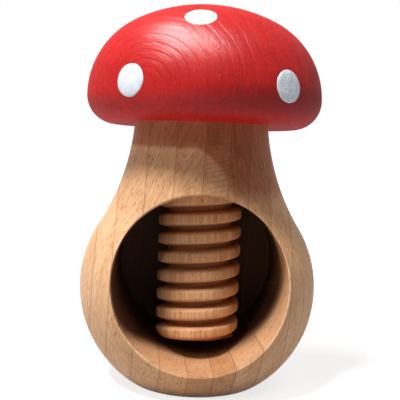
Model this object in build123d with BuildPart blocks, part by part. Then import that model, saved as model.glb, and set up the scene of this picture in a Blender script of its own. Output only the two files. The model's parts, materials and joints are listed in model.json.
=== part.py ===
from build123d import *
import math
import os

# Wooden screw nutcracker shaped like a mushroom, in millimetres.
# The origin is the centre of the foot, on the stem's own axis. +Z is up, and the chamber opens
# towards -Y.

# The turned stem, as two arcs that meet tangent: a belly and the hollow of the neck.
BELLY_RADIUS = 40.0
BELLY_HEIGHT = 32.1
BELLY_ARC = 38.5
NECK_RADIUS = 22.1
HOLLOW_ARC = 76.7
FOOT_ROUNDING = 0.8
NECK_ROUNDING = 0.6

# The chamber, bored from the front with a flat-ended bit. SIDE_WALL is left beside it in the
# belly, BACK_ROOM is free behind the spindle, and END_ROOM is free under the lowered spindle.
SIDE_WALL = 12.4
CHAMBER_HEIGHT = 37.7
BACK_ROOM = 7.0
END_ROOM = 5.3
MOUTH_BREAK = 0.7

# The blank is glued up from upright staves. The shares tell where the glue lines lie at the
# height of GLUE_DATUM: 0 is the axis, 1 the side of the threaded bore, 2 the side of the
# chamber and 3 the side of the belly.
GLUE_LINE_SHARES = (-2.48, -2.0, -1.49, -0.95, -0.15, 0.58, 1.13, 1.61, 2.1)
GLUE_DATUM = 60.0
GLUE_LEAN = 3.4
GLUE_TURN = 2.5

# The threaded bore stands a little to one side in the neck and leans, and the spindle and the
# cap go with it.
THREAD_PIVOT = 75.0
THREAD_SIDE = 0.6
LEAN_BACK = 3.3
LEAN_SIDE = 0.6

# Heights along the thread's axis are counted from the pivot.
SEAT_HEIGHT = 13.0
SEAT_GAP = 0.3
SPINDLE_RADIUS = 14.0
END_CHAMFER = 1.4
THREAD_PITCH = 6.26
THREAD_DEPTH = 3.4
CREST_WIDTH = 3.0
ROOT_WIDTH = 0.9
CREST_BREAK = 0.35
THREAD_START = 1.3
RADIAL_PLAY = 0.4
FLANK_PLAY = 0.35

# The joint between spindle and cap.
TENON_RADIUS = 9.0
TENON_LENGTH = 20.0
DOWEL_RADIUS = 4.0
DOWEL_LENGTH = 20.0
DOWEL_CHAMFER = 0.5
GLUE_GAP = 0.1

# The cap, as three arcs that meet tangent: edge, shoulder and crown.
CAP_RADIUS = 39.3
CAP_WIDEST = 20.45
CAP_TOP = 51.3
EDGE_ARC = 9.35
EDGE_SWEEP = 78.0
CROWN_ARC = 52.7
DISH_RADIUS = 24.5

# Dabs of thick paint. Turns are counted from the front towards +X, and a rise is the angle by
# which the surface there faces upwards.
DOT_RADIUS = 5.15
DOT_THICKNESS = 0.35
LOWER_DOT_TURNS = (-37.3, 37.9, 102.0, 172.0, 246.0)
LOWER_DOT_RISE = 5.0
UPPER_DOT_TURNS = (-6.3, 130.0, 212.0)
UPPER_DOT_RISE = 54.0

# One length by which every cut runs past what it cuts.
OVERRUN = 4.0

os.makedirs("parts", exist_ok=True)

# Planes and axis of the leaning thread.
thread_frame = Plane(origin=(THREAD_SIDE, 0, THREAD_PIVOT)).rotated((-LEAN_BACK, LEAN_SIDE, 0))
thread_axis = Axis(thread_frame.origin, thread_frame.z_dir)
axial_plane = Plane(
    origin=thread_frame.origin, x_dir=thread_frame.x_dir, z_dir=-thread_frame.y_dir
)

# What follows from the sizes of the chamber and the thread.
chamber_radius = BELLY_RADIUS - SIDE_WALL
spindle_end = CHAMBER_HEIGHT - chamber_radius + END_ROOM - THREAD_PIVOT
spindle_root = SPINDLE_RADIUS - THREAD_DEPTH
bore_radius = spindle_root + RADIAL_PLAY

# Centres of the stem's two arcs. The neck is narrowest at the height of the hollow's centre.
belly_centre = BELLY_RADIUS - BELLY_ARC
hollow_centre = NECK_RADIUS + HOLLOW_ARC
hollow_height = BELLY_HEIGHT + math.sqrt(
    (BELLY_ARC + HOLLOW_ARC) ** 2 - (hollow_centre - belly_centre) ** 2
)
join_angle = math.degrees(
    math.atan2(hollow_height - BELLY_HEIGHT, hollow_centre - belly_centre)
)
foot_angle = math.degrees(math.asin(BELLY_HEIGHT / BELLY_ARC))

# The spindle's first groove starts just above its end. The neck's ridges lie in the same grooves.
groove_start = spindle_end + THREAD_START - THREAD_PITCH
groove_turns = math.ceil((SEAT_HEIGHT - groove_start) / THREAD_PITCH) + 1
ceiling_height = CHAMBER_HEIGHT + chamber_radius - THREAD_PIVOT
nut_skipped = math.floor((ceiling_height - OVERRUN - groove_start) / THREAD_PITCH)
nut_start = groove_start + THREAD_PITCH * (nut_skipped - 0.5)
nut_turns = math.ceil((SEAT_HEIGHT - nut_start) / THREAD_PITCH) + 1


def helical_turns(section, start, turns):
    """A right-hand helical cut about the thread's axis, as a list of single turns."""
    coil = Helix(THREAD_PITCH, THREAD_PITCH, SPINDLE_RADIUS)
    cuts = []
    for height in (start + THREAD_PITCH * number for number in range(turns)):
        path = thread_frame.offset(height).location * coil
        cuts.append(sweep(sections=section(height), path=path, is_frenet=True))
    return cuts


def groove_section(middle):
    """The groove between two crests, drawn past the crest so that it cuts clean."""
    root = ROOT_WIDTH / 2
    mouth = (THREAD_PITCH - CREST_WIDTH) / 2
    with BuildSketch(axial_plane) as section:
        with BuildLine():
            Polyline(
                (spindle_root, middle - root),
                (spindle_root, middle + root),
                (SPINDLE_RADIUS - CREST_BREAK, middle + mouth),
                (SPINDLE_RADIUS + CREST_BREAK, middle + mouth + 2 * CREST_BREAK),
                (SPINDLE_RADIUS + OVERRUN, middle + mouth + 2 * CREST_BREAK),
                (SPINDLE_RADIUS + OVERRUN, middle - mouth - 2 * CREST_BREAK),
                (SPINDLE_RADIUS + CREST_BREAK, middle - mouth - 2 * CREST_BREAK),
                (SPINDLE_RADIUS - CREST_BREAK, middle - mouth),
                close=True,
            )
        make_face()
    return section.sketch


def ridge_section(middle):
    """The spindle's ridge with its play, as the neck's tap cuts it."""
    crest = CREST_WIDTH / 2 + FLANK_PLAY
    base = (THREAD_PITCH - ROOT_WIDTH) / 2 + FLANK_PLAY
    slope = (base - crest) / THREAD_DEPTH
    inner = bore_radius - CREST_BREAK
    with BuildSketch(axial_plane) as section:
        with BuildLine():
            Polyline(
                (inner, middle - base + slope * (inner - spindle_root)),
                (SPINDLE_RADIUS + RADIAL_PLAY, middle - crest),
                (SPINDLE_RADIUS + RADIAL_PLAY, middle + crest),
                (inner, middle + base - slope * (inner - spindle_root)),
                close=True,
            )
        make_face()
    return section.sketch


groove_cuts = helical_turns(groove_section, groove_start, groove_turns)
nut_cuts = helical_turns(ridge_section, nut_start, nut_turns)

# The whole stem, before it is told apart into its staves.
with BuildPart() as stem_blank:
    with BuildSketch(Plane.XZ):
        with BuildLine():
            belly = CenterArc(
                (belly_centre, BELLY_HEIGHT), BELLY_ARC, -foot_angle, foot_angle + join_angle
            )
            hollow = CenterArc(
                (hollow_centre, hollow_height), HOLLOW_ARC, 180 + join_angle, -join_angle
            )
            Polyline(hollow @ 1, (0, hollow_height), (0, 0), belly @ 0)
        make_face()
    revolve(axis=Axis.Z)
    split(bisect_by=thread_frame.offset(SEAT_HEIGHT - SEAT_GAP), keep=Keep.BOTTOM)
    fillet(stem_blank.faces().sort_by(Axis.Z)[0].edges(), radius=FOOT_ROUNDING)
    fillet(stem_blank.faces().sort_by(Axis.Z)[-1].edges(), radius=NECK_ROUNDING)
    with BuildSketch(Plane.XZ.offset(-SPINDLE_RADIUS - BACK_ROOM)):
        with Locations((0, CHAMBER_HEIGHT)):
            Circle(chamber_radius)
    extrude(amount=2 * BELLY_RADIUS, mode=Mode.SUBTRACT)
    mouth_edges = stem_blank.edges().filter_by(
        lambda edge: edge.geom_type not in (GeomType.CIRCLE, GeomType.LINE)
        and edge.center().Y < 0
    )
    chamfer(mouth_edges, length=MOUTH_BREAK)
    for nut_turn in nut_cuts:
        add(nut_turn, mode=Mode.SUBTRACT)
    with BuildSketch(thread_frame.offset(SEAT_HEIGHT + OVERRUN)):
        Circle(bore_radius)
    bore_end = CHAMBER_HEIGHT - THREAD_PIVOT
    extrude(amount=bore_end - SEAT_HEIGHT - OVERRUN, mode=Mode.SUBTRACT)


def glue_place(share):
    """How far out from the axis a glue line lies, counted band by band."""
    bands = (bore_radius, chamber_radius - bore_radius, SIDE_WALL)
    out = sum(band * min(max(abs(share) - inside, 0), 1) for inside, band in enumerate(bands))
    return math.copysign(out, share)


# Each stave is the blank between two neighbouring glue planes.
lean = math.radians(GLUE_LEAN)
turn = math.radians(GLUE_TURN)
glue_normal = Vector(math.cos(turn), math.sin(turn), -math.tan(lean))
glue_planes = [
    Plane(origin=(glue_place(share), 0, GLUE_DATUM), z_dir=glue_normal)
    for share in GLUE_LINE_SHARES
]
for number in range(len(glue_planes) + 1):
    with BuildPart() as stave:
        add(stem_blank.part)
        if number > 0:
            split(bisect_by=glue_planes[number - 1], keep=Keep.TOP)
        if number < len(glue_planes):
            split(bisect_by=glue_planes[number], keep=Keep.BOTTOM)
    # Where the bore is as wide as a stave, it cuts the stave's front off from its back.
    for place, piece in enumerate(stave.solids().sort_by(Axis.Y, reverse=True)):
        piece.label = f"stem_stave_{number + 1:02d}" + "_front" * place
        export_step(piece, f"parts/{piece.label}.step")

with BuildPart() as spindle:
    with BuildSketch(axial_plane):
        with BuildLine():
            Polyline(
                (0, spindle_end),
                (SPINDLE_RADIUS - END_CHAMFER, spindle_end),
                (SPINDLE_RADIUS, spindle_end + END_CHAMFER),
                (SPINDLE_RADIUS, SEAT_HEIGHT),
                (TENON_RADIUS, SEAT_HEIGHT),
                (TENON_RADIUS, SEAT_HEIGHT + TENON_LENGTH),
                (0, SEAT_HEIGHT + TENON_LENGTH),
                close=True,
            )
        make_face()
    revolve(axis=thread_axis)
    with BuildSketch(thread_frame.offset(SEAT_HEIGHT + TENON_LENGTH)):
        Circle(DOWEL_RADIUS + GLUE_GAP)
    extrude(amount=-(DOWEL_LENGTH / 2 + GLUE_GAP), mode=Mode.SUBTRACT)
    for groove_turn in groove_cuts:
        add(groove_turn, mode=Mode.SUBTRACT)
spindle.part.label = "spindle"
export_step(spindle.part, "parts/spindle.step")

with BuildPart() as centre_dowel:
    with BuildSketch(thread_frame.offset(SEAT_HEIGHT + TENON_LENGTH - DOWEL_LENGTH / 2)):
        Circle(DOWEL_RADIUS)
    extrude(amount=DOWEL_LENGTH)
    chamfer(centre_dowel.edges().filter_by(GeomType.CIRCLE), length=DOWEL_CHAMFER)
centre_dowel.part.label = "centre_dowel"
export_step(centre_dowel.part, "parts/centre_dowel.step")

# The shoulder arc touches the crown arc and stands upright at the widest point.
crown_centre = CAP_TOP - CROWN_ARC
shoulder_arc = (
    CROWN_ARC**2 - CAP_RADIUS**2 - (CAP_WIDEST - crown_centre) ** 2
) / (2 * (CROWN_ARC - CAP_RADIUS))
shoulder_centre = CAP_RADIUS - shoulder_arc
shoulder_sweep = math.degrees(math.atan2(CAP_WIDEST - crown_centre, shoulder_centre))


def cap_form(growth):
    """The solid cap without its bore, grown outwards by the thickness of a coat."""
    with BuildPart(mode=Mode.PRIVATE) as form:
        with BuildSketch(axial_plane):
            with BuildLine():
                edge = CenterArc(
                    (CAP_RADIUS - EDGE_ARC, CAP_WIDEST), EDGE_ARC + growth, -EDGE_SWEEP, EDGE_SWEEP
                )
                CenterArc((shoulder_centre, CAP_WIDEST), shoulder_arc + growth, 0, shoulder_sweep)
                CenterArc(
                    (0, crown_centre), CROWN_ARC + growth, shoulder_sweep, 90 - shoulder_sweep
                )
                Polyline(
                    (0, CAP_TOP + growth), (0, SEAT_HEIGHT), (DISH_RADIUS, SEAT_HEIGHT), edge @ 0
                )
            make_face()
        revolve(axis=thread_axis)
    return form.part


with BuildPart() as cap:
    add(cap_form(0))
    with BuildSketch(thread_frame.offset(SEAT_HEIGHT)):
        Circle(TENON_RADIUS + GLUE_GAP)
    extrude(amount=TENON_LENGTH + GLUE_GAP, mode=Mode.SUBTRACT)
    with BuildSketch(thread_frame.offset(SEAT_HEIGHT + TENON_LENGTH)):
        Circle(DOWEL_RADIUS + GLUE_GAP)
    extrude(amount=DOWEL_LENGTH / 2 + GLUE_GAP, mode=Mode.SUBTRACT)
cap.part.label = "cap"
export_step(cap.part, "parts/cap.step")

# A dab of paint is the round piece of a thin coat that its own upright cylinder cuts out.
with BuildPart() as paint_coat:
    add(cap_form(DOT_THICKNESS))
    add(cap_form(0), mode=Mode.SUBTRACT)


def dot_plane(turn_angle, rise):
    """A plane at the shoulder arc's centre that faces outwards through one dab."""
    around = math.radians(turn_angle)
    up = math.radians(rise)
    outwards = Vector(math.sin(around), -math.cos(around), 0)
    facing = outwards * math.cos(up) + Vector(0, 0, math.sin(up))
    middle = outwards * shoulder_centre + Vector(0, 0, CAP_WIDEST)
    origin = thread_frame.from_local_coords(middle)
    return Plane(origin=origin, z_dir=thread_frame.from_local_coords(middle + facing) - origin)


dot_places = [(turn_angle, LOWER_DOT_RISE) for turn_angle in LOWER_DOT_TURNS]
dot_places += [(turn_angle, UPPER_DOT_RISE) for turn_angle in UPPER_DOT_TURNS]
for number, (turn_angle, rise) in enumerate(dot_places, start=1):
    with BuildPart() as paint_dot:
        add(paint_coat.part)
        with BuildSketch(dot_plane(turn_angle, rise)):
            Circle(DOT_RADIUS)
        extrude(amount=CAP_RADIUS, mode=Mode.INTERSECT)
    paint_dot.part.label = f"paint_dot_{number}"
    export_step(paint_dot.part, f"parts/{paint_dot.part.label}.step")
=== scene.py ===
import json
import logging
import math
from collections import Counter
from dataclasses import dataclass, field
from enum import Enum
from functools import reduce
from typing import ClassVar

import bmesh
import bpy
import numpy as np
from mathutils import Matrix, Quaternion, Vector


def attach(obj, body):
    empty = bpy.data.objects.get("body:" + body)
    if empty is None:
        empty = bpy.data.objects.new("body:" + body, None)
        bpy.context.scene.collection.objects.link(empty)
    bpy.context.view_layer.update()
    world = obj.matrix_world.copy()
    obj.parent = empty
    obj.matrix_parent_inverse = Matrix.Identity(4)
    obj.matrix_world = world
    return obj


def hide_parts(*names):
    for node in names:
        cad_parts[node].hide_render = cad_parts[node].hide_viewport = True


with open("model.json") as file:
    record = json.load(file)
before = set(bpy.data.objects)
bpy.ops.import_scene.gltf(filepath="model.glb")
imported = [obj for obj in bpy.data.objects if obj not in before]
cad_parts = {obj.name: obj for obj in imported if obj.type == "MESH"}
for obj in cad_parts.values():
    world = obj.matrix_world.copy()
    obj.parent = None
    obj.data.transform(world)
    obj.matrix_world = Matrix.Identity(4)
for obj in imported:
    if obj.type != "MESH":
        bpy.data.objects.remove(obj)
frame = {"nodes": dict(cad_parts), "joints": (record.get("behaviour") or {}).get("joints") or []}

log = logging.getLogger("nutcracker")

MM = 0.001
FULL_TURN = 2 * math.pi
WHITE = (1.0, 1.0, 1.0, 1.0)
Socket = bpy.types.NodeSocket
Value = Socket | float
Colour = tuple[float, float, float]
Triple = tuple[float, float, float]
Span = tuple[float, float]
Point = tuple[float, float]


class Body(Enum):
    """The body that every new piece rides on."""

    SCREW = "screw"


class Slot(Enum):
    """The record's material slots of the new pieces."""

    CAP = "red_stain"
    SPINDLE = "spindle_beech"
    PAINT = "white_paint"


def srgb(red: int, green: int, blue: int) -> Colour:
    """Turn a colour as a screen shows it, from 0 to 255, into the linear values that a shader takes."""
    shares = (part / 255 for part in (red, green, blue))
    return tuple(s / 12.92 if s <= 0.04045 else ((s + 0.055) / 1.055) ** 2.4 for s in shares)


def darker(colour: Colour, shares: Triple) -> Colour:
    """Return a colour with each of its parts cut down to a share."""
    return tuple(part * share for part, share in zip(colour, shares))


class Graph:
    """The nodes of a material or of the world, with a short call for each kind."""

    def __init__(self, owner: bpy.types.Material | bpy.types.World) -> None:
        """Start with no nodes.

        Args:
            owner: The new material or world.
        """
        self.owner = owner
        owner.use_nodes = True
        self.nodes = owner.node_tree.nodes
        self.links = owner.node_tree.links
        self.nodes.clear()

    def add(self, kind: str, inputs: dict[str | int, Value | tuple], **settings: object) -> bpy.types.Node:
        """Add a node.

        Args:
            kind: The node's type name, without the leading ShaderNode.
            inputs: What goes into each input: a socket to link, or a constant.
            **settings: Attributes of the node, such as its operation.

        Returns:
            The new node.
        """
        node = self.nodes.new("ShaderNode" + kind)
        for key, setting in settings.items():
            setattr(node, key, setting)
        for key, given in inputs.items():
            if isinstance(given, Socket):
                self.links.new(given, node.inputs[key])
            else:
                node.inputs[key].default_value = given
        return node

    def math(self, operation: str, first: Value, second: Value = 0.0) -> Socket:
        """Return the result of one sum on numbers."""
        return self.add("Math", {0: first, 1: second}, operation=operation).outputs[0]

    def plus(self, first: Value, second: Value) -> Socket:
        """Return two numbers added up."""
        return self.math("ADD", first, second)

    def minus(self, first: Value, second: Value) -> Socket:
        """Return the first number less the second."""
        return self.math("SUBTRACT", first, second)

    def times(self, first: Value, second: Value) -> Socket:
        """Return two numbers multiplied."""
        return self.math("MULTIPLY", first, second)

    def blend(self, *weighed: tuple[Value, float]) -> Socket:
        """Return the sum of numbers, each times its weight."""
        return reduce(self.plus, (self.times(value, weight) for value, weight in weighed))

    def vector(self, operation: str, first: Socket | Triple, second: Socket | Triple) -> Socket:
        """Return the result of one sum on vectors."""
        return self.add("VectorMath", {0: first, 1: second}, operation=operation).outputs[0]

    def dot(self, first: Socket, second: Vector | Triple) -> Socket:
        """Return how far a vector reaches along a fixed direction."""
        node = self.add("VectorMath", {0: first, 1: tuple(second)}, operation="DOT_PRODUCT")
        return node.outputs["Value"]

    def length(self, vector: Socket) -> Socket:
        """Return how long a vector is."""
        return self.add("VectorMath", {0: vector}, operation="LENGTH").outputs["Value"]

    def join(self, x: Value, y: Value, z: Value) -> Socket:
        """Return a vector made of three numbers."""
        return self.add("CombineXYZ", {0: x, 1: y, 2: z}).outputs[0]

    def split(self, vector: Socket) -> tuple[Socket, Socket, Socket]:
        """Return a vector's x, y and z."""
        return tuple(self.add("SeparateXYZ", {0: vector}).outputs)

    def place(self) -> Socket:
        """Return the point of the piece that is being coloured, in millimetres."""
        point = self.add("TexCoord", {}).outputs["Object"]
        return self.add("VectorMath", {0: point, "Scale": 1 / MM}, operation="SCALE").outputs[0]

    def noise(self, place: Socket, scale: float = 1.0, detail: float = 2.0, rough: float = 0.5) -> Socket:
        """Return cloudy noise from 0 to 1 at a place."""
        inputs = {"Vector": place, "Scale": scale, "Detail": detail, "Roughness": rough}
        return self.add("TexNoise", inputs).outputs[0]

    def step(self, value: Value, low: float, high: float) -> Socket:
        """Return 0 below one value and 1 above another, with a smooth rise between them."""
        inputs = {"Value": value, "From Min": low, "From Max": high}
        return self.add("MapRange", inputs, interpolation_type="SMOOTHSTEP").outputs[0]

    def fall(self, value: Value, low: float, high: float) -> Socket:
        """Return 1 below one value and 0 above another, with a smooth fall between them."""
        return self.minus(1.0, self.step(value, low, high))

    def tint(
        self, amount: Value, below: Socket | Colour, above: Socket | Colour, mode: str = "MIX"
    ) -> Socket:
        """Lay one colour over another.

        Args:
            amount: How much of the upper colour shows, from 0 to 1.
            below: The lower colour.
            above: The upper colour.
            mode: How the two are mixed.

        Returns:
            The mixed colour.
        """
        lower, upper = (given if isinstance(given, Socket) else (*given, 1.0) for given in (below, above))
        node = self.add("Mix", {0: amount, 6: lower, 7: upper}, data_type="RGBA", blend_type=mode)
        return node.outputs[2]

    def bump(self, height: Socket, depth: float) -> Socket:
        """Return a surface's normals, tilted by a relief whose depth is given in metres."""
        return self.add("Bump", {"Height": height, "Strength": 1.0, "Distance": depth}).outputs[0]

    def seen(self) -> Socket:
        """Find the rays that show the backdrop, straight or in gloss or glass.

        Returns:
            1 for these rays and 0 for others.
        """
        path = self.add("LightPath", {}).outputs
        straight = self.math("MAXIMUM", path["Is Camera Ray"], path["Is Transmission Ray"])
        return self.math("MAXIMUM", straight, path["Is Glossy Ray"])

    def finish(self, inputs: dict[str | int, Value | tuple]) -> bpy.types.Material:
        """Close a material with a shader that has these inputs, and return it."""
        self.add("OutputMaterial", {"Surface": self.add("BsdfPrincipled", inputs).outputs[0]})
        return self.owner


@dataclass(frozen=True)
class Growth:
    """How the wood of one piece grew. Lengths are in millimetres, and turns in degrees.

    The grain runs along the trunk, rays run out from its middle, and the yearly rings lie
    round it.
    """

    trunk: Triple
    ray_turn: float
    middle: float
    ring: float
    seed: float
    off_side: float = 0.0

    def directions(self) -> tuple[Vector, Vector, Vector]:
        """Work out the wood's three directions.

        Returns:
            The directions across the rays, along the rays and along the trunk.
        """
        along = Vector(self.trunk).normalized()
        side = Vector((1.0, 0.0, 0.0)) if abs(along.x) < 0.9 else Vector((0.0, 0.0, 1.0))
        across = (side - along * side.dot(along)).normalized()
        across.rotate(Quaternion(along, math.radians(self.ray_turn)))
        return across, along.cross(across), along


@dataclass(frozen=True)
class Grain:
    """How fine the wood's figure is.

    A triple says how often a pattern repeats in a millimetre, across the rays, along them and
    along the trunk. A span says where a pattern starts to show and where it shows in full.
    """

    seed_steps: Triple = (7.1, 3.7, 11.3)
    sway: Triple = (0.05, 0.05, 0.02)
    sway_reach: Triple = (3.4, 3.4, 0.0)
    uneven_years: float = 0.35
    uneven_reach: float = 1.6
    late_wood: Span = (0.35, 0.9)
    fibres: Triple = (5.0, 5.0, 0.28)
    streaks: Triple = (1.1, 1.1, 0.04)
    clouds: Triple = (0.12, 0.12, 0.035)
    rays: Triple = (1 / 0.6, 1 / 6.0, 1 / 3.0)
    ray_edge: Span = (0.12, 0.36)
    rays_left_out: float = 0.45
    pores: Triple = (7.0, 7.0, 1.6)
    pore_edge: Span = (0.6, 0.74)
    end_grain: Span = (0.55, 1.0)


@dataclass
class Figure:
    """What shows of the wood's growth at each point of a surface.

    The place is in millimetres, the years are counted, and the rest go from 0 to 1.
    """

    place: Socket
    years: Socket
    rings: Socket
    fibres: Socket
    streaks: Socket
    clouds: Socket
    rays: Socket
    pores: Socket
    end_grain: Socket


def wood_figure(graph: Graph, growth: Growth) -> Figure:
    """Lay a wood's figure through a piece, as if it were cut from one block.

    Args:
        graph: The material's nodes.
        growth: How the wood grew.

    Returns:
        The masks of rings, fibres, rays and pores.
    """
    grain = Grain()
    place = graph.place()
    across, outwards, along = growth.directions()
    bare = graph.join(graph.dot(place, across), graph.dot(place, outwards), graph.dot(place, along))
    seeded = graph.vector("ADD", bare, tuple(growth.seed * part for part in grain.seed_steps))
    sway = graph.add("TexNoise", {"Vector": graph.vector("MULTIPLY", seeded, grain.sway), "Scale": 1.0})
    bend = graph.vector("SUBTRACT", sway.outputs["Color"], (0.5, 0.5, 0.5))
    bend = graph.vector("MULTIPLY", bend, grain.sway_reach)
    wood = graph.vector("ADD", seeded, bend)

    flat = graph.vector("MULTIPLY", graph.vector("ADD", bare, bend), (1.0, 1.0, 0.0))
    from_middle = graph.vector("ADD", flat, (growth.off_side, growth.middle, 0.0))
    years = graph.math("DIVIDE", graph.length(from_middle), growth.ring)
    uneven = graph.noise(graph.join(graph.times(years, grain.uneven_years), growth.seed, 0.0))
    year = graph.math("FRACT", graph.plus(years, graph.times(uneven, grain.uneven_reach)))
    late = graph.times(graph.step(year, *grain.late_wood), graph.fall(year, grain.late_wood[1], 1.0))

    cells = graph.add("TexVoronoi", {"Vector": graph.vector("MULTIPLY", wood, grain.rays), "Scale": 1.0})
    chance = graph.dot(cells.outputs["Color"], (1.0, 0.0, 0.0))
    chosen = graph.math("GREATER_THAN", chance, grain.rays_left_out)
    dots = graph.noise(graph.vector("MULTIPLY", wood, grain.pores), detail=1.0)
    facing = graph.math("ABSOLUTE", graph.dot(graph.add("TexCoord", {}).outputs["Normal"], along))
    return Figure(
        place=place,
        years=years,
        rings=late,
        fibres=graph.noise(graph.vector("MULTIPLY", wood, grain.fibres), detail=3.0, rough=0.6),
        streaks=graph.noise(graph.vector("MULTIPLY", wood, grain.streaks), detail=3.0),
        clouds=graph.noise(graph.vector("MULTIPLY", wood, grain.clouds)),
        rays=graph.times(graph.fall(cells.outputs["Distance"], *grain.ray_edge), chosen),
        pores=graph.step(dots, *grain.pore_edge),
        end_grain=graph.step(facing, *grain.end_grain),
    )


@dataclass(frozen=True)
class Glue:
    """A flat glued face: its normal, and its distance from the origin in metres."""

    normal: Vector
    distance: float


@dataclass(frozen=True)
class ChamberShade:
    """Painted shade in the bored nut chamber, in millimetres: the wood is painted dark at the back, and
    sooner on the left.
    """

    height: float = 37.7
    radius: float = 27.9
    bright: float = -19.0
    dark: float = -2.0
    back: float = 21.4
    left_wall: Span = (14.0, 26.0)
    earlier: float = 22.0
    amount: float = 0.95
    shares: Triple = (0.1, 0.06, 0.04)

    def mask(self, graph: Graph, place: Socket) -> Socket:
        """Find how much painted shade each point gets, by how far inside the chamber it lies.

        Args:
            graph: The material's nodes.
            place: The points, in millimetres.

        Returns:
            0 outside and at the mouth, and 1 at the back.
        """
        x, y, z = graph.split(place)
        reach = graph.length(graph.join(x, 0.0, graph.minus(z, self.height)))
        within = graph.math("LESS_THAN", reach, self.radius)
        inside = graph.times(within, graph.math("LESS_THAN", y, self.back))
        left = graph.step(graph.times(x, -1.0), *self.left_wall)
        depth = graph.plus(y, graph.times(left, self.earlier))
        return graph.times(inside, graph.step(depth, self.bright, self.dark))


@dataclass(frozen=True)
class GrooveShade:
    """Painted shade in the thread's grooves, which are darker than the crests. In millimetres."""

    pivot: Vector
    up: Vector
    low: float = 11.4
    high: float = 13.8
    amount: float = 0.78
    shares: Triple = (0.5, 0.3, 0.22)

    def mask(self, graph: Graph, place: Socket) -> Socket:
        """Find how deep in a groove each point lies.

        Args:
            graph: The material's nodes.
            place: The points, in millimetres.

        Returns:
            0 on a crest and 1 at the bottom of a groove.
        """
        away = graph.vector("SUBTRACT", place, tuple(self.pivot / MM))
        reach = graph.length(graph.vector("CROSS_PRODUCT", away, tuple(self.up)))
        return graph.fall(reach, self.low, self.high)


@dataclass(frozen=True)
class CapShadow:
    """Painted shadow of the cap on the top of the neck, darker and tinted reddish by the cap's red bounce
    light.

    Its ragged lower edge lies between two heights in millimetres, and drops on the front's right, so the
    neck's right side is painted in shade further down.
    """

    low: float = 79.0
    high: float = 80.6
    drop: float = 12.0
    right: Span = (-3.0, 16.0)
    front: Span = (-6.0, 14.0)
    raggedness: float = 1.6
    rags: float = 0.35
    amount: float = 0.92
    # The reddish tint that the painted shadow multiplies the wood by.
    stain: Colour = (0.6, 0.38, 0.33)

    def mask(self, graph: Graph, place: Socket) -> Socket:
        """Find the points that get the cap's painted shadow.

        Args:
            graph: The material's nodes.
            place: The points, in millimetres.

        Returns:
            0 below the painted shadow band, and the band's full amount in it.
        """
        x, y, z = graph.split(place)
        sunk = graph.times(graph.step(x, *self.right), graph.fall(y, *self.front))
        lower = graph.times(sunk, self.drop)
        soft = graph.times(lower, 0.5)
        ragged = graph.times(graph.noise(place, self.rags), self.raggedness)
        height = graph.plus(graph.plus(z, ragged), lower)
        past_edge = graph.minus(height, graph.minus(self.low + self.raggedness / 2, soft))
        share = graph.math("DIVIDE", past_edge, graph.plus(soft, self.high - self.low))
        return graph.times(graph.step(share, 0.0, 1.0), self.amount)


@dataclass(frozen=True)
class Tones:
    """A wood's pale, middle and deep colour."""

    pale: Colour
    middle: Colour
    deep: Colour

    def toward(self, other: "Tones", share: float) -> "Tones":
        """Return the tones that lie a share of the way to other ones."""
        pairs = ((self.pale, other.pale), (self.middle, other.middle), (self.deep, other.deep))
        return Tones(*(tuple(a + (b - a) * share for a, b in zip(*pair)) for pair in pairs))


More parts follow.
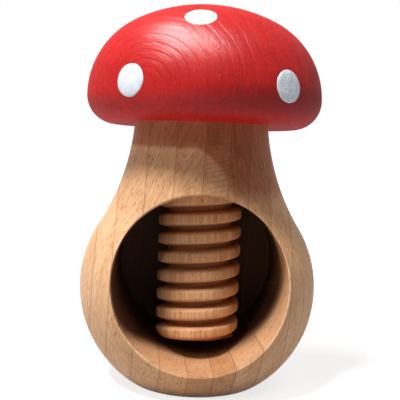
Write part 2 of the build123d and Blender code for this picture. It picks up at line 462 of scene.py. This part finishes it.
@dataclass(frozen=True)
class BeechFinish:
    """Turned and lightly oiled beech. Amounts go from 0 to 1."""

    name: str
    growth: Growth
    tones: Tones
    flecks: float
    rings: float = 0.35
    glues: tuple[Glue, ...] = ()
    glue_width: float = 0.13 * MM
    roughness: float = 0.46
    cap_shadow: CapShadow | None = None
    shades: tuple[ChamberShade | GrooveShade, ...] = ()
    streak_share: float = 0.55
    middle_tone: Span = (0.3, 0.52)
    pale_tone: Span = (0.48, 0.72)
    fibre_edge: Span = (0.42, 0.68)
    fibre_amount: float = 0.5
    pore_amount: float = 0.28
    end_amount: float = 0.3
    glue_amount: float = 0.52
    fleck_shares: Triple = (0.46, 0.38, 0.34)
    glue_shares: Triple = (1.0, 0.8, 0.7)
    relief: float = 0.045 * MM

    def glue_mask(self, graph: Graph, figure: Figure) -> Socket:
        """Find the thin lines where this piece meets its neighbours.

        Args:
            graph: The material's nodes.
            figure: The wood that they cross.

        Returns:
            1 on a glue line and 0 elsewhere.
        """
        mask = 0.0
        width = self.glue_width / MM
        wander = graph.times(graph.noise(figure.place, scale=0.9), width)
        for glue in self.glues:
            reach = graph.dot(figure.place, glue.normal)
            off = graph.math("ABSOLUTE", graph.minus(reach, glue.distance / MM))
            line = graph.fall(graph.minus(off, wander), 0.0, width)
            mask = graph.math("MAXIMUM", line, mask)
        return mask

    def build(self) -> bpy.types.Material:
        """Make the material.

        Returns:
            The finished material.
        """
        graph = Graph(bpy.data.materials.new(self.name))
        figure = wood_figure(graph, self.growth)
        deep = self.tones.deep
        fleck = darker(deep, self.fleck_shares)

        tone = graph.blend((figure.streaks, self.streak_share), (figure.clouds, 1 - self.streak_share))
        colour = graph.tint(graph.step(tone, *self.middle_tone), deep, self.tones.middle)
        colour = graph.tint(graph.step(tone, *self.pale_tone), colour, self.tones.pale)
        layers = [
            (figure.rings, self.rings, deep),
            (graph.step(figure.fibres, *self.fibre_edge), self.fibre_amount, deep),
            (figure.rays, self.flecks, fleck),
            (figure.pores, self.pore_amount, fleck),
            (figure.end_grain, self.end_amount, deep),
        ]
        # Painted shade: the nut chamber's depths and the thread's grooves are darkened.
        for shade in self.shades:
            layers.append((shade.mask(graph, figure.place), shade.amount, darker(deep, shade.shares)))
        for mask, amount, above in layers:
            colour = graph.tint(graph.times(mask, amount), colour, above)
        # Painted shadow of the cap on the neck's top, multiplied in with a reddish tint.
        if self.cap_shadow is not None:
            cap_shaded = graph.tint(1.0, colour, self.cap_shadow.stain, "MULTIPLY")
            colour = graph.tint(self.cap_shadow.mask(graph, figure.place), colour, cap_shaded)
        worn = figure.rays
        if self.glues:
            line = self.glue_mask(graph, figure)
            glued = darker(fleck, self.glue_shares)
            colour = graph.tint(graph.times(line, self.glue_amount), colour, glued)
            worn = graph.math("MAXIMUM", figure.rays, line)

        relief = graph.blend((figure.fibres, 0.5), (worn, -0.6), (figure.pores, -0.3))
        return graph.finish(
            {
                "Base Color": colour,
                "Roughness": graph.plus(self.roughness, graph.blend((figure.fibres, 0.16), (worn, 0.12))),
                "Normal": graph.bump(relief, self.relief),
                "IOR": 1.46,
                "Specular IOR Level": 0.18,
            }
        )


@dataclass(frozen=True)
class StainFinish:
    """Red stain on turned wood under a soft gloss lacquer.

    Amounts go from 0 to 1, lengths are in millimetres, and repeats are counted in a millimetre.
    """

    name: str
    growth: Growth
    bright: Colour = srgb(214, 38, 38)
    middle: Colour = srgb(193, 28, 28)
    deep: Colour = srgb(151, 15, 15)
    pore: Colour = srgb(88, 7, 11)
    tone: Span = (0.32, 0.68)
    ring_amount: float = 0.13
    end_amount: float = 0.16
    ray_amount: float = 0.4
    line_amount: float = 0.16
    pore_amount: float = 0.6
    pore_repeats: Triple = (1.9, 0.5, 1.9)
    pore_edge: Span = (0.64, 0.74)
    lines_a_year: float = 5.0
    line_repeats: Triple = (0.3, 0.3, 0.3)
    line_edge: Span = (0.4, 0.7)
    band_height: float = 97.0
    band_edge: Span = (1.5, 6.0)
    band_right: Span = (-16.0, 14.0)
    band_raggedness: float = 4.0
    band_amount: float = 0.8
    relief: float = 0.07 * MM

    def build(self) -> bpy.types.Material:
        """Make the material.

        Returns:
            The finished material.
        """
        graph = Graph(bpy.data.materials.new(self.name))
        figure = wood_figure(graph, self.growth)
        # Fine raised lines follow the yearly rings.
        drift = graph.vector("MULTIPLY", figure.place, self.line_repeats)
        across = graph.join(graph.times(figure.years, self.lines_a_year), 0.0, 0.0)
        lines = graph.noise(graph.vector("ADD", drift, across))
        dots = graph.noise(graph.vector("MULTIPLY", figure.place, self.pore_repeats), detail=1.0)
        pores = graph.step(dots, *self.pore_edge)
        # The wood is darker in a ragged band low on the front and right.
        x, _, z = graph.split(figure.place)
        rise = graph.plus(z, graph.times(figure.streaks, self.band_raggedness))
        off = graph.math("ABSOLUTE", graph.minus(rise, self.band_height))
        dark_band = graph.times(graph.fall(off, *self.band_edge), graph.step(x, *self.band_right))

        tone = graph.blend((figure.streaks, 0.5), (figure.clouds, 0.5))
        colour = graph.tint(graph.step(tone, *self.tone), self.middle, self.bright)
        for mask, amount, above in (
            (figure.rings, self.ring_amount, self.deep),
            (figure.end_grain, self.end_amount, self.deep),
            (figure.rays, self.ray_amount, self.deep),
            (dark_band, self.band_amount, self.deep),
            (pores, self.pore_amount, self.pore),
            (graph.step(lines, *self.line_edge), self.line_amount, self.deep),
        ):
            colour = graph.tint(graph.times(mask, amount), colour, above)

        peel = graph.noise(figure.place, scale=1.6)
        wood = ((figure.fibres, 0.3), (figure.rings, -0.8), (pores, -0.4))
        normals = graph.bump(graph.blend(*wood, (peel, 0.4), (lines, 1.4)), self.relief)
        return graph.finish(
            {
                "Base Color": colour,
                "Roughness": graph.plus(0.3, graph.times(figure.fibres, 0.2)),
                "Normal": normals,
                "IOR": 1.4,
                "Specular IOR Level": 0.0,
                "Coat Weight": 0.16,
                "Coat Roughness": 0.34,
                "Coat IOR": 2.0,
                "Coat Normal": normals,
            }
        )


@dataclass(frozen=True)
class PaintFinish:
    """Thick white paint, dabbed on. Grains and brush drags are counted in a millimetre."""

    name: str
    white: Colour = srgb(238, 242, 247)
    shade: Colour = srgb(222, 229, 240)
    relief: float = 0.02 * MM
    grains: float = 5.0
    drags: float = 0.6
    drag_edge: Span = (0.35, 0.7)

    def build(self) -> bpy.types.Material:
        """Make the material.

        Returns:
            The finished material.
        """
        graph = Graph(bpy.data.materials.new(self.name))
        place = graph.place()
        grain = graph.noise(place, self.grains, detail=3.0, rough=0.6)
        drag = graph.noise(place, self.drags, detail=3.0)
        return graph.finish(
            {
                "Base Color": graph.tint(graph.step(drag, *self.drag_edge), self.shade, self.white),
                "Roughness": graph.plus(0.48, graph.times(grain, 0.2)),
                "Normal": graph.bump(grain, self.relief),
                "IOR": 1.5,
                "Specular IOR Level": 0.3,
            }
        )


@dataclass(frozen=True)
class ThreadAxis:
    """The leaning axis that the thread, the spindle and the cap share."""

    pivot: Vector
    up: Vector

    def points(self, radius: np.ndarray, turn: np.ndarray, height: np.ndarray) -> np.ndarray:
        """Place points given round the axis.

        Args:
            radius: Distances from the axis.
            turn: Turns about the axis, in radians from +X.
            height: Heights along the axis from the pivot.

        Returns:
            The points in the part's frame, one to a row.
        """
        side = (Vector((1.0, 0.0, 0.0)) - self.up * self.up.x).normalized()
        depth = self.up.cross(side)
        reaches = ((radius * np.cos(turn), side), (radius * np.sin(turn), depth), (height, self.up))
        rows = sum(reach[..., None] * np.array(direction) for reach, direction in reaches)
        return rows.reshape(-1, 3) + np.array(self.pivot)


def mesh_object(name: str, points: np.ndarray, faces: list[tuple[int, ...]]) -> bpy.types.Object:
    """Make a smooth mesh object out of points and faces, with doubled points merged.

    Args:
        name: The object's name.
        points: One point to a row, in metres.
        faces: Each face as the numbers of its points.

    Returns:
        The new object, linked to the scene.
    """
    mesh = bpy.data.meshes.new(name)
    mesh.from_pydata(points.tolist(), [], faces)
    solid = bmesh.new()
    solid.from_mesh(mesh)
    bmesh.ops.remove_doubles(solid, verts=solid.verts, dist=0.002 * MM)
    bmesh.ops.dissolve_degenerate(solid, edges=solid.edges, dist=0.001 * MM)
    bmesh.ops.recalc_face_normals(solid, faces=solid.faces)
    for face in solid.faces:
        face.smooth = True
    solid.to_mesh(mesh)
    solid.free()
    made = bpy.data.objects.new(name, mesh)
    bpy.context.scene.collection.objects.link(made)
    return made


def grid_faces(rows: int, columns: int, closed: bool = True) -> list[tuple[int, ...]]:
    """List the four-sided faces of a tube of points.

    Args:
        rows: How many rings of points there are.
        columns: How many points each ring has.
        closed: Whether each ring's last point joins its first one.

    Returns:
        The faces.
    """
    return [
        (row * columns + place, row * columns + (place + 1) % columns,
         (row + 1) * columns + (place + 1) % columns, (row + 1) * columns + place)
        for row in range(rows - 1)
        for place in range(columns if closed else columns - 1)
    ]


def arc(centre: Point, radius: float, start: float, end: float, count: int) -> list[Point]:
    """Return points along an arc, from one angle to another in radians."""
    angles = np.linspace(start, end, count)
    return [(centre[0] + radius * math.cos(turn), centre[1] + radius * math.sin(turn)) for turn in angles]


def round_corner(before: Point, corner: Point, after: Point, radius: float, steps: int) -> list[Point]:
    """Round one corner of an outline with an arc.

    Args:
        before: The outline's point before the corner.
        corner: The corner.
        after: The point after it.
        radius: The arc's radius.
        steps: How many stretches the arc is drawn with.

    Returns:
        The points of the arc, in order.
    """
    here = Vector(corner)
    back = (Vector(before) - here).normalized()
    on = (Vector(after) - here).normalized()
    half = math.acos(max(-1.0, min(1.0, back.dot(on)))) / 2
    centre = here + (back + on).normalized() * (radius / math.sin(half))
    first = here + back * (radius / math.tan(half)) - centre
    last = here + on * (radius / math.tan(half)) - centre
    sweep = first.angle_signed(last)
    return [
        tuple(centre + Matrix.Rotation(-sweep * step / steps, 2) @ first) for step in range(steps + 1)
    ]


def dress(piece: bpy.types.Object, material: bpy.types.Material) -> None:
    """Give a piece one material all over."""
    piece.data.materials.clear()
    piece.data.materials.append(material)


@dataclass
class Spindle:
    """The threaded spindle, with the rounded crests that the cutter and use leave."""

    axis: ThreadAxis
    radius: float = 14.0 * MM
    end: float = -59.6 * MM
    seat: float = 13.0 * MM
    pitch: float = 6.26 * MM
    depth: float = 3.4 * MM
    crest: float = 3.0 * MM
    root: float = 0.9 * MM
    crest_rounding: float = 1.0 * MM
    root_rounding: float = 0.45 * MM
    end_chamfer: float = 1.4 * MM
    start: float = 1.3 * MM
    end_rings: tuple[float, ...] = (0.0, 0.5, 0.9)
    tenon_radius: float = 9.0 * MM
    tenon_length: float = 20.0 * MM
    dowel_hole: float = 4.1 * MM
    dowel_depth: float = 10.1 * MM
    columns: int = 160

    def outline(self) -> np.ndarray:
        """Draw one pitch of the thread, from the middle of a groove to the next.

        Returns:
            Rows of height above the groove's middle, and radius.
        """
        low = self.radius - self.depth
        mouth = (self.pitch - self.crest) / 2
        corners = [
            (-self.root / 2, low), (self.root / 2, low), (mouth, self.radius),
            (self.pitch - mouth, self.radius), (self.pitch - self.root / 2, low),
            (self.pitch + self.root / 2, low),
        ]
        points = [(0.0, low)]
        for before, corner, after in zip(corners, corners[1:], corners[2:]):
            rounding = self.root_rounding if corner[1] == low else self.crest_rounding
            points += round_corner(before, corner, after, rounding, steps=5)
        points.append((self.pitch, low))
        return np.array(points)

    def build(self) -> bpy.types.Object:
        """Make the spindle's mesh.

        Returns:
            The spindle.
        """
        outline = self.outline()
        turn = np.linspace(0, FULL_TURN, self.columns + 1)
        advance = self.pitch * turn[None, :] / FULL_TURN
        groove = self.end + self.start - self.pitch
        laps = math.ceil((self.seat - groove) / self.pitch) + 2
        height = np.concatenate([outline[:-1, 0] + self.pitch * (lap - 1) for lap in range(laps)])
        rise = np.clip(groove + height[:, None] + advance, self.end, self.seat)
        reach = np.interp(np.mod(rise - groove - advance, self.pitch), outline[:, 0], outline[:, 1])
        reach = np.minimum(reach, self.radius - self.end_chamfer + (rise - self.end))

        top = self.seat + self.tenon_length
        tenon = [
            (self.tenon_radius, self.seat), (self.tenon_radius, top), (self.dowel_hole, top),
            (self.dowel_hole, top - self.dowel_depth), (0.0, top - self.dowel_depth),
        ]
        rings = [(reach[:1] * share, rise[:1]) for share in self.end_rings]
        rings.append((reach, rise))
        rings += [(np.full((1, turn.size), r), np.full((1, turn.size), h)) for r, h in tenon]
        radii = np.concatenate([r for r, _ in rings])
        heights = np.concatenate([h for _, h in rings])
        points = self.axis.points(radii, np.broadcast_to(turn, radii.shape), heights)
        return mesh_object("threaded_spindle", points, grid_faces(len(radii), turn.size, closed=False))

    def wood(self) -> bpy.types.Material:
        """Return the warm beech of the spindle and its dowel."""
        return BeechFinish(
            name="beech_spindle",
            growth=Growth(trunk=tuple(self.axis.up), ray_turn=35, middle=45, ring=1.6, seed=4.4),
            tones=Tones(srgb(253, 205, 157), srgb(235, 178, 128), srgb(195, 134, 88)),
            flecks=0.4,
            roughness=0.5,
            # Painted shade in the thread's grooves.
            shades=(GrooveShade(self.axis.pivot, self.axis.up),),
        ).build()


@dataclass
class Cap:
    """The turned cap, which is the handle."""

    axis: ThreadAxis
    radius: float = 39.27 * MM
    widest: float = 20.45 * MM
    top: float = 51.27 * MM
    edge_arc: float = 9.35 * MM
    edge_sweep: float = 78.0
    crown_arc: float = 52.7 * MM
    dish_radius: float = 24.5 * MM
    seat: float = 13.0 * MM
    crease_rounding: float = 0.35 * MM
    tenon_hole: float = 9.1 * MM
    tenon_depth: float = 20.1 * MM
    dowel_hole: float = 4.1 * MM
    dowel_depth: float = 30.1 * MM
    columns: int = 256
    settle_rounds: int = 6
    crown_centre: float = field(init=False)
    shoulder_arc: float = field(init=False)

    def __post_init__(self) -> None:
        """Work out the arcs that the driving sizes leave open."""
        self.crown_centre = self.top - self.crown_arc
        drop = self.widest - self.crown_centre
        across = self.crown_arc**2 - self.radius**2 - drop**2
        self.shoulder_arc = across / (2 * (self.crown_arc - self.radius))

    @property
    def shoulder_centre(self) -> float:
        """How far the shoulder arc's centre lies from the axis."""
        return self.radius - self.shoulder_arc

    @property
    def shoulder_sweep(self) -> float:
        """The angle at which the shoulder arc meets the crown arc."""
        return math.atan2(self.widest - self.crown_centre, self.shoulder_centre)

    def outside(self) -> list[Point]:
        """Draw the cap's outer line from the crown down to the crease.

        Returns:
            Pairs of radius and height.
        """
        shoulder, edge = (self.shoulder_centre, self.widest), (self.radius - self.edge_arc, self.widest)
        points = arc((0.0, self.crown_centre), self.crown_arc, math.pi / 2, self.shoulder_sweep, count=56)
        points += arc(shoulder, self.shoulder_arc, self.shoulder_sweep, 0, count=40)[1:]
        points += arc(edge, self.edge_arc, 0, -math.radians(self.edge_sweep), count=28)[1:]
        return points

    def build(self) -> bpy.types.Object:
        """Make the cap's mesh.

        Returns:
            The cap.
        """
        outside = self.outside()
        dish = (self.dish_radius, self.seat)
        crease = round_corner(outside[-2], outside[-1], dish, self.crease_rounding, steps=4)
        low, high = self.seat + self.tenon_depth, self.seat + self.dowel_depth
        inside = [
            dish, (self.tenon_hole, self.seat), (self.tenon_hole, low),
            (self.dowel_hole, low), (self.dowel_hole, high), (0.0, high),
        ]
        line = np.array(outside[:-1] + crease + inside)
        turn = np.linspace(0, FULL_TURN, self.columns, endpoint=False)
        radius = np.repeat(line[:, 0], self.columns)
        height = np.repeat(line[:, 1], self.columns)
        points = self.axis.points(radius, np.tile(turn, len(line)), height)
        return mesh_object("red_cap", points, grid_faces(len(line), self.columns))

    def wood(self) -> bpy.types.Material:
        """Return the red stain on the block that the cap is turned from."""
        block = Growth((0.35, 1.0, -0.1), ray_turn=0, middle=94, off_side=3, ring=2.8, seed=2.0)
        return StainFinish("red_stain", block).build()

    def settle(self, point: np.ndarray, facing: np.ndarray) -> tuple[np.ndarray, np.ndarray]:
        """Move points along a direction until they lie on the cap's outside.

        Args:
            point: Rows of x, y and height about the cap's own axis.
            facing: The direction to move in.

        Returns:
            The points on the surface, and the surface's normals there.
        """
        for _ in range(self.settle_rounds):
            reach = np.hypot(point[:, 0], point[:, 1])
            on_edge = point[:, 2] < self.widest
            on_crown = np.arctan2(point[:, 2] - self.crown_centre, reach) > self.shoulder_sweep
            side = np.where(on_edge, self.radius - self.edge_arc, self.shoulder_centre)
            out = np.where(on_crown, 0.0, side)
            up = np.where(on_crown, self.crown_centre, self.widest)
            bend = np.where(on_crown, self.crown_arc, np.where(on_edge, self.edge_arc, self.shoulder_arc))
            away, rise = reach - out, point[:, 2] - up
            length = np.hypot(away, rise)
            normal = np.stack([away * point[:, 0] / reach, away * point[:, 1] / reach, rise], axis=1)
            normal = normal / length[:, None]
            point = point - ((length - bend) / (normal @ facing))[:, None] * facing
        return point, normal


@dataclass
class PaintDab:
    """One round dab of thick paint on the cap. Its turn and rise are in degrees."""

    cap: Cap
    number: int
    turn: float
    rise: float
    rough: bool
    radius: float = 5.1 * MM
    thickness: float = 0.33 * MM
    evenness: float = 0.86
    peel: float = 0.006 * MM
    rough_peel: float = 0.022 * MM
    bed: float = 0.02 * MM
    rim_share: float = 0.975
    rim_power: int = 7
    rings: int = 34
    columns: int = 120

    LOW_ROW: ClassVar[tuple[Span, ...]] = tuple((turn, 5.0) for turn in (-37.3, 37.9, 102.0, 172.0, 246.0))
    HIGH_ROW: ClassVar[tuple[Span, ...]] = tuple((turn, 54.0) for turn in (-6.3, 130.0, 212.0))
    ROUGH: ClassVar[tuple[int, ...]] = (2, 5)
    # The rim's wobbles by how many lobes they have, and how many radians a metre the skin's waves run.
    LOBES: ClassVar[dict[int, float]] = {2: 0.012, 3: 0.009, 5: 0.006, 9: 0.004}
    WAVES: ClassVar[tuple[float, ...]] = (900.0, 1400.0, 2100.0, 2900.0, 3600.0, 4300.0)

    def build(self) -> bpy.types.Object:
        """Make the dab's mesh.

        Returns:
            The dab.
        """
        chance = np.random.default_rng(self.number)
        around, up = math.radians(self.turn), math.radians(self.rise)
        outwards = np.array([math.sin(around), -math.cos(around), 0.0])
        facing = outwards * math.cos(up) + np.array([0.0, 0.0, math.sin(up)])
        centre = outwards * self.cap.shoulder_centre + np.array([0.0, 0.0, self.cap.widest])
        centre = centre + facing * self.cap.shoulder_arc
        side = np.cross([0.0, 0.0, 1.0], outwards)
        tall = np.cross(facing, side)

        angle = np.linspace(0, FULL_TURN, self.columns, endpoint=False)
        wobble = sum(
            size * np.cos(lobes * angle + chance.uniform(0, FULL_TURN))
            for lobes, size in self.LOBES.items()
        )
        share = np.sin(np.linspace(0, 1, self.rings) * math.pi / 2)
        reach = share[:, None] * (self.radius * (self.rim_share + wobble))[None, :]
        across = (reach * np.cos(angle))[..., None] * side
        upwards = (reach * np.sin(angle))[..., None] * tall
        spread = (centre + across + upwards).reshape(-1, 3)
        surface, normal = self.cap.settle(spread, facing)

        dome = np.repeat(np.sqrt(np.clip(1 - share**self.rim_power, 0, 1)), self.columns)
        waves = sum(
            np.cos(spread @ chance.normal(0, pitch, 3) + chance.uniform(0, FULL_TURN))
            for pitch in self.WAVES
        )
        peel = self.rough_peel if self.rough else self.peel
        height = dome * (self.thickness * self.evenness + peel * waves)
        lift = np.clip(height, 0.0, self.thickness)
        under = surface - normal * self.bed
        upper = surface + normal * lift[:, None]
        local = np.concatenate([upper, under[-self.columns:], under[: self.columns]])
        turn = np.arctan2(local[:, 1], local[:, 0])
        points = self.cap.axis.points(np.hypot(local[:, 0], local[:, 1]), turn, local[:, 2])
        return mesh_object(f"white_dab_{self.number}", points, grid_faces(self.rings + 2, self.columns))


def glue_faces(staves: dict[str, bpy.types.Object]) -> dict[str, tuple[Glue, ...]]:
    """Find the flat faces by which the staves are glued to each other.

    Args:
        staves: The staves by name.

    Returns:
        For each stave, its glued faces.
    """
    sideways, off_true, least_area, least_gap = 0.9, math.radians(1.5), 20 * MM * MM, 0.5
    areas = Counter()
    for stave in staves.values():
        for face in stave.data.polygons:
            areas[tuple(round(part, 2) for part in face.normal)] += face.area
    widest = Vector(max((key for key in areas if abs(key[0]) > sideways), key=areas.get)).normalized()
    found = {}
    for name, stave in staves.items():
        places = Counter()
        for face in stave.data.polygons:
            turned = face.normal.dot(widest)
            if abs(turned) > math.cos(off_true):
                places[round(face.center.dot(face.normal) * math.copysign(1, turned) / MM, 1)] += face.area
        kept = []
        for place, area in places.most_common():
            if area > least_area and all(abs(place - other) > least_gap for other in kept):
                kept.append(place)
        found[name] = tuple(Glue(widest, place * MM) for place in kept[:2])
    return found


@dataclass(frozen=True)
class Board:
    """One board of beech: how it grew, how dark it is, and how much its rays and rings show."""

    growth: Growth
    depth: float
    flecks: float
    rings: float = 0.35


def board(
    lean: float, ray_turn: float, middle: float, ring: float, seed: float, depth: float, flecks: float
) -> Board:
    """Return a board whose grain runs up the stem and leans to the side."""
    growth = Growth((lean, 0.0, 1.0), ray_turn=ray_turn, middle=middle, ring=ring, seed=seed)
    return Board(growth, depth, flecks)


@dataclass
class Stem:
    """The turned stem, glued up from staves that each grew in another tree."""

    nodes: dict[str, bpy.types.Object]

    LIGHTEST: ClassVar[Tones] = Tones(srgb(253, 215, 178), srgb(240, 191, 145), srgb(216, 160, 113))
    DARKEST: ClassVar[Tones] = Tones(srgb(235, 182, 143), srgb(214, 157, 110), srgb(180, 121, 79))
    # The boards by their staves' numbers.
    BOARDS: ClassVar[dict[str, Board]] = {
        "01": board(0.1, ray_turn=-20, middle=80, ring=2.2, seed=1.3, depth=0.15, flecks=0.5),
        "02": board(0.15, ray_turn=-20, middle=95, ring=1.8, seed=2.7, depth=0.0, flecks=0.6),
        "03": board(0.26, ray_turn=-22, middle=90, ring=2.0, seed=3.9, depth=0.15, flecks=0.8),
        "04": board(0.3, ray_turn=-24, middle=110, ring=2.1, seed=5.2, depth=0.3, flecks=0.85),
        "05": board(0.5, ray_turn=-40, middle=100, ring=1.9, seed=6.1, depth=0.45, flecks=0.8),
        "06": Board(
            Growth((0.0, 0.8, 0.6), ray_turn=0, middle=57, off_side=-5, ring=0.95, seed=7.6),
            depth=0.85, flecks=0.2, rings=0.55,
        ),
        "07": board(-0.05, ray_turn=12, middle=120, ring=1.7, seed=8.8, depth=0.9, flecks=0.6),
        "08": board(0.0, ray_turn=5, middle=85, ring=2.1, seed=9.4, depth=0.45, flecks=0.4),
        "09": board(0.05, ray_turn=20, middle=100, ring=1.6, seed=10.7, depth=0.15, flecks=0.4),
        "10": board(0.02, ray_turn=-12, middle=90, ring=2.3, seed=12.2, depth=0.0, flecks=0.4),
    }

    def dress(self) -> None:
        """Give each stave its own piece of beech, with the glue lines along its faces."""
        staves = {name: node for name, node in self.nodes.items() if name.startswith("stem_stave")}
        glues = glue_faces(staves)
        for name, node in staves.items():
            kind = self.BOARDS[name.removesuffix("_front")[-2:]]
            finish = BeechFinish(
                name=f"beech_{name}",
                growth=kind.growth,
                tones=self.LIGHTEST.toward(self.DARKEST, kind.depth),
                flecks=kind.flecks,
                rings=kind.rings,
                glues=glues[name],
                # Painted shadow of the cap on the neck's top.
                cap_shadow=CapShadow(),
                # Painted shade deep in the nut chamber.
                shades=(ChamberShade(),),
            )
            dress(node, finish.build())
            log.info("%s: %d glue lines", name, len(glues[name]))


@dataclass(frozen=True)
class Lamp:
    """One soft lamp that faces the nutcracker.

    Its turn from the front to the right and its rise from level are in degrees, its power is
    in watts, and its distance and sizes are in metres. A lamp may leave out the shine on
    glossy surfaces, or light nothing but that.
    """

    name: str
    turn: float
    rise: float
    power: float
    distance: float = 0.9
    width: float = 0.4
    height: float = 0.4
    shine: bool = True
    fill: bool = True

    def hang(self, target: Vector) -> None:
        """Hang the lamp.

        Args:
            target: The point that it faces.
        """
        around, up = math.radians(self.turn), math.radians(self.rise)
        level = Vector((math.sin(around), -math.cos(around), 0.0)) * math.cos(up)
        away = (level + Vector((0.0, 0.0, math.sin(up)))) * self.distance
        data = bpy.data.lights.new(self.name, "AREA")
        data.shape = "RECTANGLE"
        data.size, data.size_y = self.width, self.height
        data.energy = self.power
        made = bpy.data.objects.new(self.name, data)
        made.location = target + away
        made.rotation_mode = "QUATERNION"
        made.rotation_quaternion = (-away).to_track_quat("-Z", "Y")
        made.visible_glossy = self.shine
        made.visible_diffuse = self.fill
        bpy.context.scene.collection.objects.link(made)


@dataclass
class Studio:
    """The floor, the lamps and the camera, with its turns in degrees and its lens in millimetres."""

    camera_place: Triple = (-10.07 * MM, -264.76 * MM, 89.76 * MM)
    yaw: float = 2.41
    pitch: float = 6.107
    roll: float = 1.638
    lens: float = 70.27
    shift: Span = (-0.0064, -0.0008)
    middle_height: float = 60 * MM
    backdrop_light: float = 0.02
    floor_size: float = 6.0
    floor_colour: tuple[float, ...] = (0.48, 0.48, 0.48, 1.0)
    floor_near: float = 0.78
    floor_fade: Span = (0.1, 0.6)

    LAMPS: ClassVar[tuple[Lamp, ...]] = (
        Lamp("key", turn=-46, rise=62, power=9.7, distance=0.95, width=0.2, height=0.2),
        Lamp("low_key", turn=-34, rise=35, power=0.9, distance=0.95, width=0.12, height=0.12, shine=False),
        Lamp("left_top", turn=-106, rise=70, power=2.7, width=0.16, height=0.16),
        Lamp("sheen", turn=-50, rise=77, power=24.0, width=0.9, height=0.14, fill=False),
        Lamp("right_top", turn=76, rise=62, power=1.15, shine=False),
        Lamp("right_back", turn=155, rise=16, power=1.0, shine=False),
    )

    def camera(self) -> None:
        """Set the camera where the photograph was taken from."""
        data = bpy.data.cameras.new("camera")
        data.lens = self.lens
        data.sensor_width = 36.0
        data.shift_x, data.shift_y = self.shift
        data.clip_start, data.clip_end = 0.01, 20.0
        yaw, pitch, roll = (math.radians(turn) for turn in (self.yaw, self.pitch, self.roll))
        ahead = Vector((math.sin(yaw) * math.cos(pitch), math.cos(yaw) * math.cos(pitch), -math.sin(pitch)))
        made = bpy.data.objects.new("camera", data)
        made.rotation_mode = "QUATERNION"
        made.rotation_quaternion = ahead.to_track_quat("-Z", "Y") @ Quaternion((0, 0, 1), roll)
        made.location = self.camera_place
        bpy.context.scene.collection.objects.link(made)
        bpy.context.scene.camera = made

    def world(self) -> None:
        """Make a white backdrop that lights the nutcracker only faintly."""
        graph = Graph(bpy.data.worlds.new("studio"))
        inputs = {"Value": graph.seen(), "To Min": self.backdrop_light, "To Max": 1.0}
        strength = graph.add("MapRange", inputs)
        background = graph.add("Background", {"Color": WHITE, "Strength": strength.outputs[0]})
        graph.add("OutputWorld", {"Surface": background.outputs[0]})
        bpy.context.scene.world = graph.owner

    def floor(self) -> None:
        """Lay a pale floor that keeps the nutcracker's soft shadow."""
        half = self.floor_size / 2
        corners = np.array([(-half, -half, 0), (half, -half, 0), (half, half, 0), (-half, half, 0)])
        made = mesh_object("floor", corners, [(0, 1, 2, 3)])
        graph = Graph(bpy.data.materials.new("pale_floor"))
        away = graph.length(graph.add("TexCoord", {}).outputs["Object"])
        rise = graph.times(graph.step(away, *self.floor_fade), 1 - self.floor_near)
        strength = graph.times(graph.seen(), graph.plus(self.floor_near, rise))
        matt = graph.add("BsdfDiffuse", {"Color": self.floor_colour})
        glow = graph.add("Emission", {"Color": WHITE, "Strength": strength})
        both = graph.add("AddShader", {0: matt.outputs[0], 1: glow.outputs[0]})
        graph.add("OutputMaterial", {"Surface": both.outputs[0]})
        dress(made, graph.owner)

    def build(self) -> None:
        """Set up everything round the nutcracker."""
        bpy.context.scene.view_settings.view_transform = "Standard"
        self.camera()
        for lamp in self.LAMPS:
            lamp.hang(Vector((0.0, 0.0, self.middle_height)))
        self.world()
        self.floor()


def main() -> None:
    """Dress the nutcracker and set up its studio."""
    logging.basicConfig(level=logging.INFO, format="%(message)s")
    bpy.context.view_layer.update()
    Studio().build()
    joint = next(j for j in frame["joints"] if j["name"] == "cap_turn")
    axis = ThreadAxis(pivot=Vector(joint["pos_m"]), up=Vector(joint["axis"]).normalized())

    Stem(frame["nodes"]).dress()

    screw = Spindle(axis)
    spindle = screw.build()
    warm = screw.wood()
    dress(spindle, warm)
    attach(spindle, Body.SCREW.value)
    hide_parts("spindle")
    dress(frame["nodes"]["centre_dowel"], warm)
    log.info("%s: %d faces", spindle.name, len(spindle.data.polygons))

    cap = Cap(axis)
    shell = cap.build()
    dress(shell, cap.wood())
    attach(shell, Body.SCREW.value)
    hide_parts("cap")
    log.info("%s: %d faces", shell.name, len(shell.data.polygons))

    smooth = PaintFinish("white_paint").build()
    white, shade = srgb(246, 249, 253), srgb(230, 239, 252)
    coarse = PaintFinish("white_paint_coarse", white, shade, relief=0.32 * MM, grains=1.1, drags=2.2).build()
    for number, (turn, rise) in enumerate(PaintDab.LOW_ROW + PaintDab.HIGH_ROW, start=1):
        spot = PaintDab(cap, number, turn, rise, rough=number in PaintDab.ROUGH)
        dab = spot.build()
        dress(dab, coarse if spot.rough else smooth)
        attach(dab, Body.SCREW.value)
        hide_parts(f"paint_dot_{number}")
        log.info("%s: %d faces", dab.name, len(dab.data.polygons))


if __name__ == "__main__":
    main()
